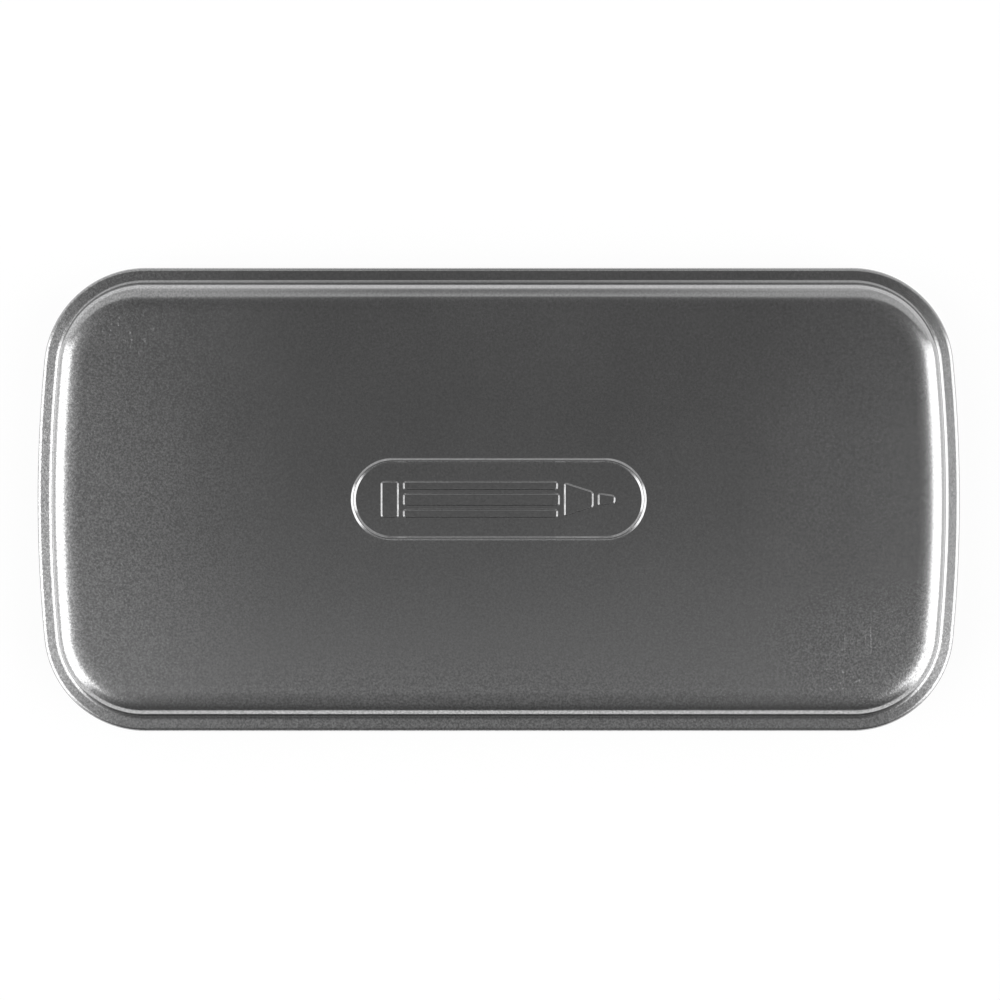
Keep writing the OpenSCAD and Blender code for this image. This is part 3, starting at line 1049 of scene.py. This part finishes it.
def cut_foam():
    """Pale open foam, a little soiled where the pencils press on it."""
    look = Look("cut_foam", SLOT_COLOURS["foam"], 0.95, Specular_IOR_Level=0.2)
    cells = look.add("TexVoronoi", {"Vector": look.stretched(1900), "Scale": 1.0},
                     feature="DISTANCE_TO_EDGE")
    pores = look.between(cells.outputs["Distance"], 0.0, 0.16)
    # Painted shade and light: the pores are darker inside and their rims lighter, following the sunken
    # cells of the bump.
    look.tone = look.shades(pores, 1.1, 0.9)
    look.mix_in_shade(look.between(look.noise(60, detail=3), 0.35, 0.7, 0, 0.3), 0.86)
    pressed = look.add("Attribute", attribute_name="pressed").outputs["Fac"]
    patchy = look.noise((90, 900, 900), detail=3)
    look.mix_in_shade(look.times(pressed, look.between(patchy, 0.35, 0.65, 0.15, 0.6)), 0.55)
    height = look.plus(look.times(pores, -1), look.times(look.noise(5200), 0.4))
    return look.done(Normal=look.bump(height, 0.12 * MM, 0.9))


def lacquer(name, colour, y):
    """Coloured gloss lacquer over straight wood grain."""
    look = Look(name, colour, 0.3, Coat_Weight=0.5, Coat_Roughness=0.12)
    centre = (0, y, PENCIL_Z)
    grain = look.noise((60, 1500, 1500), detail=3, centre=centre)
    peel = look.noise((900, 1100, 1100), detail=1)
    cloud = look.noise((50, 120, 120))
    look.tone = look.shades(look.between(grain, 0.3, 0.7), 0.86, 1.07)
    look.mix_in_shade(look.between(cloud, 0.4, 0.7, 0, 0.25), 0.8)
    lift = look.bump(grain, 0.025 * MM, 0.6)
    return look.done(Roughness=look.between(cloud, 0.3, 0.7, 0.26, 0.36),
                     Normal=look.bump(peel, 0.01 * MM, 0.6, Normal=lift))


def bare_wood(colour):
    """Bare wood where the pencil is sharpened or cut."""
    look = Look("bare_wood", colour, 0.75)
    fibre = look.noise((110, 4200, 4200), detail=3, rough=0.65)
    rings = look.noise((22, 420, 420))
    cutter = look.noise((1400, 500, 500))
    look.tone = look.shades(look.between(fibre, 0.3, 0.7), 0.78, 1.15)
    look.tone = look.mix(look.between(rings, 0.52, 0.62, 0, 0.5), look.tone, GROWTH_RING)
    lift = look.bump(fibre, 0.03 * MM, 0.8)
    return look.done(Roughness=look.between(fibre, 0.3, 0.7, 0.68, 0.85),
                     Normal=look.bump(cutter, 0.02 * MM, 0.6, Normal=lift))


def pigment(name, colour, y):
    """Waxy pigment, smooth where it is sharpened."""
    look = Look(name, colour, 0.5, Specular_IOR_Level=0.4)
    streaks = look.noise((600, 2600, 2600), detail=3, centre=(0, y, PENCIL_Z))
    look.tone = look.shades(look.between(streaks, 0.3, 0.7), 0.82, 1.12)
    look.mix_in_shade(look.between(look.noise(5200), 0.6, 0.72, 0, 0.35), 0.6)
    lift = look.bump(streaks, 0.03 * MM, 0.8)
    return look.done(Roughness=look.between(streaks, 0.3, 0.7, 0.4, 0.58), Normal=lift)


# ---- stage

WHITE = (1, 1, 1, 1)
SIDE_LIGHT = 2.15
CEILING_FRONT_TO_BACK = [
    (0.02, 0.11), (0.085, 0.125), (0.17, 0.16), (0.275, 0.18), (0.35, 0.185), (0.385, 0.19), (0.415, 0.225),
    (0.437, 0.33), (0.452, 0.32), (0.472, 0.175), (0.5, 0.138), (0.55, 0.12), (0.685, 0.125), (0.705, 0.58),
    (0.76, 0.55), (0.83, 0.42), (0.915, 0.3), (0.97, 0.26), (0.985, 0.4)]
CAMERA_PLACE = (0.27 * MM, -0.11 * MM, 444 * MM)
LENS = 70.8
SENSOR_WIDTH = 36
FLOOR_SIZE = 8
FLOOR_LIGHT = 1.02
FLOOR_WHITE = 0.9


def studio_world():
    """A studio of two broad side lights, a dim ceiling, a paler back and a white horizon."""
    world = bpy.data.worlds.new("studio")
    world.use_nodes = True
    sky = Nodes(world.node_tree)
    direction = sky.add("SeparateXYZ", {"Vector": sky.add("TexCoord").outputs["Generated"]})
    x, y, z = direction.outputs
    level = sky.math("SQRT", sky.math("SUBTRACT", 1.0, sky.times(z, z)))
    bearing = sky.math("DIVIDE", y, sky.math("MAXIMUM", level, 0.01))
    aside = sky.math("ABSOLUTE", x)
    off_middle = sky.eased(aside, 0.04, 0.18)
    fill = sky.times(off_middle, sky.between(y, 0.4, 0.7, 0, 0.31))
    bow = sky.times(off_middle, sky.between(aside, 0.34, 0.22))
    bow = sky.times(bow, sky.between(y, 0.2, 0.3, 0, 0.08))
    front_to_back = sky.between(sky.plus(y, bow), -1, 1)
    ceiling = sky.plus(fill, sky.steps(front_to_back, CEILING_FRONT_TO_BACK))
    glow = sky.plus(sky.eased(x, -0.09, -0.42, 0.37), sky.eased(x, 0.17, 0.42, 0.24))
    sides = sky.times(sky.eased(bearing, 0.75, 0.3), sky.eased(bearing, -0.95, -0.6))
    glow = sky.times(glow, sides)
    window = sky.times(sky.eased(bearing, 0.4, 0.26), sky.eased(bearing, -0.72, -0.54))
    reach = sky.plus(level, sky.times(sky.math("MAXIMUM", x, 0.0), 0.06))
    window = sky.times(sky.eased(reach, 0.4, 0.465, SIDE_LIGHT), window)
    light = sky.plus(sky.plus(ceiling, glow), window)
    light = sky.math("MAXIMUM", light, sky.eased(z, 0.13, 0.03))
    camera = sky.add("LightPath").outputs["Is Camera Ray"]
    sky.set(sky.tree.nodes["Background"], {"Color": sky.mix(camera, light, WHITE), "Strength": 1.0})
    return world


def floor_material():
    """White for the camera and in reflections, with a faint shadow left in it."""
    look = Look("white_floor", (0.92, 0.92, 0.92), 0.9, Specular_IOR_Level=0.0)
    path = look.add("LightPath").outputs
    seen = look.math("MAXIMUM", look.math("MAXIMUM", path["Is Camera Ray"], path["Is Glossy Ray"]),
                     path["Is Transmission Ray"])
    white = look.add("Emission", {"Color": WHITE, "Strength": FLOOR_LIGHT})
    blend = look.add("MixShader")
    look.set(blend, {0: look.times(seen, FLOOR_WHITE), 1: look.shader.outputs[0], 2: white.outputs[0]})
    look.tree.links.new(blend.outputs[0], look.tree.nodes["Material Output"].inputs["Surface"])
    return look.material


class TIN_OT_stage(bpy.types.Operator):
    """Set the floor, the world with its light, and the camera"""

    bl_idname = "pencil_tin.stage"
    bl_label = "Stage"

    def execute(self, context):
        deselect_all()
        bpy.ops.mesh.primitive_plane_add(size=FLOOR_SIZE)
        floor = bpy.context.object
        floor.name = "floor"
        floor.data.materials.append(floor_material())
        scene = context.scene
        scene.view_settings.view_transform = "Standard"
        scene.world = studio_world()
        bpy.ops.object.camera_add(location=CAMERA_PLACE, rotation=(0, 0, 0))
        camera = bpy.context.object
        camera.data.sensor_width = SENSOR_WIDTH
        camera.data.lens = LENS
        camera.data.clip_start = 10 * MM
        scene.camera = camera
        return {"FINISHED"}


class TIN_PT_panel(bpy.types.Panel):
    """Lists what the add-on models"""

    bl_idname = "TIN_PT_panel"
    bl_label = "Pencil tin"
    bl_space_type = "VIEW_3D"
    bl_region_type = "UI"
    bl_category = "Pencil tin"

    def draw(self, context):
        for operator in OPERATORS:
            self.layout.operator(operator.bl_idname)


GROUPS = {"tin_sizes": TinSizes, "hinge_sizes": Hinge, "tray_sizes": TraySizes, "foam_sizes": FoamSizes,
          "pencil_sizes": PencilSizes, "finishes": Finishes}
OPERATORS = (TIN_OT_stage, TIN_OT_lid, TIN_OT_base, TIN_OT_hinge_wires, TIN_OT_tray, TIN_OT_foam,
             TIN_OT_pencils)


def register():
    for item in (*GROUPS.values(), *OPERATORS, TIN_PT_panel):
        bpy.utils.register_class(item)
    for name, group in GROUPS.items():
        setattr(bpy.types.Scene, name, PointerProperty(type=group))


def unregister():
    for name in GROUPS:
        delattr(bpy.types.Scene, name)
    for item in (TIN_PT_panel, *reversed(OPERATORS), *reversed(GROUPS.values())):
        bpy.utils.unregister_class(item)


def main():
    """Registers the add-on and builds every piece."""
    register()
    bpy.ops.pencil_tin.stage()
    bpy.ops.pencil_tin.lid()
    bpy.ops.pencil_tin.base()
    bpy.ops.pencil_tin.hinge_wires()
    bpy.ops.pencil_tin.tray()
    bpy.ops.pencil_tin.foam()
    bpy.ops.pencil_tin.pencils()


if __name__ == "__main__":
    main()
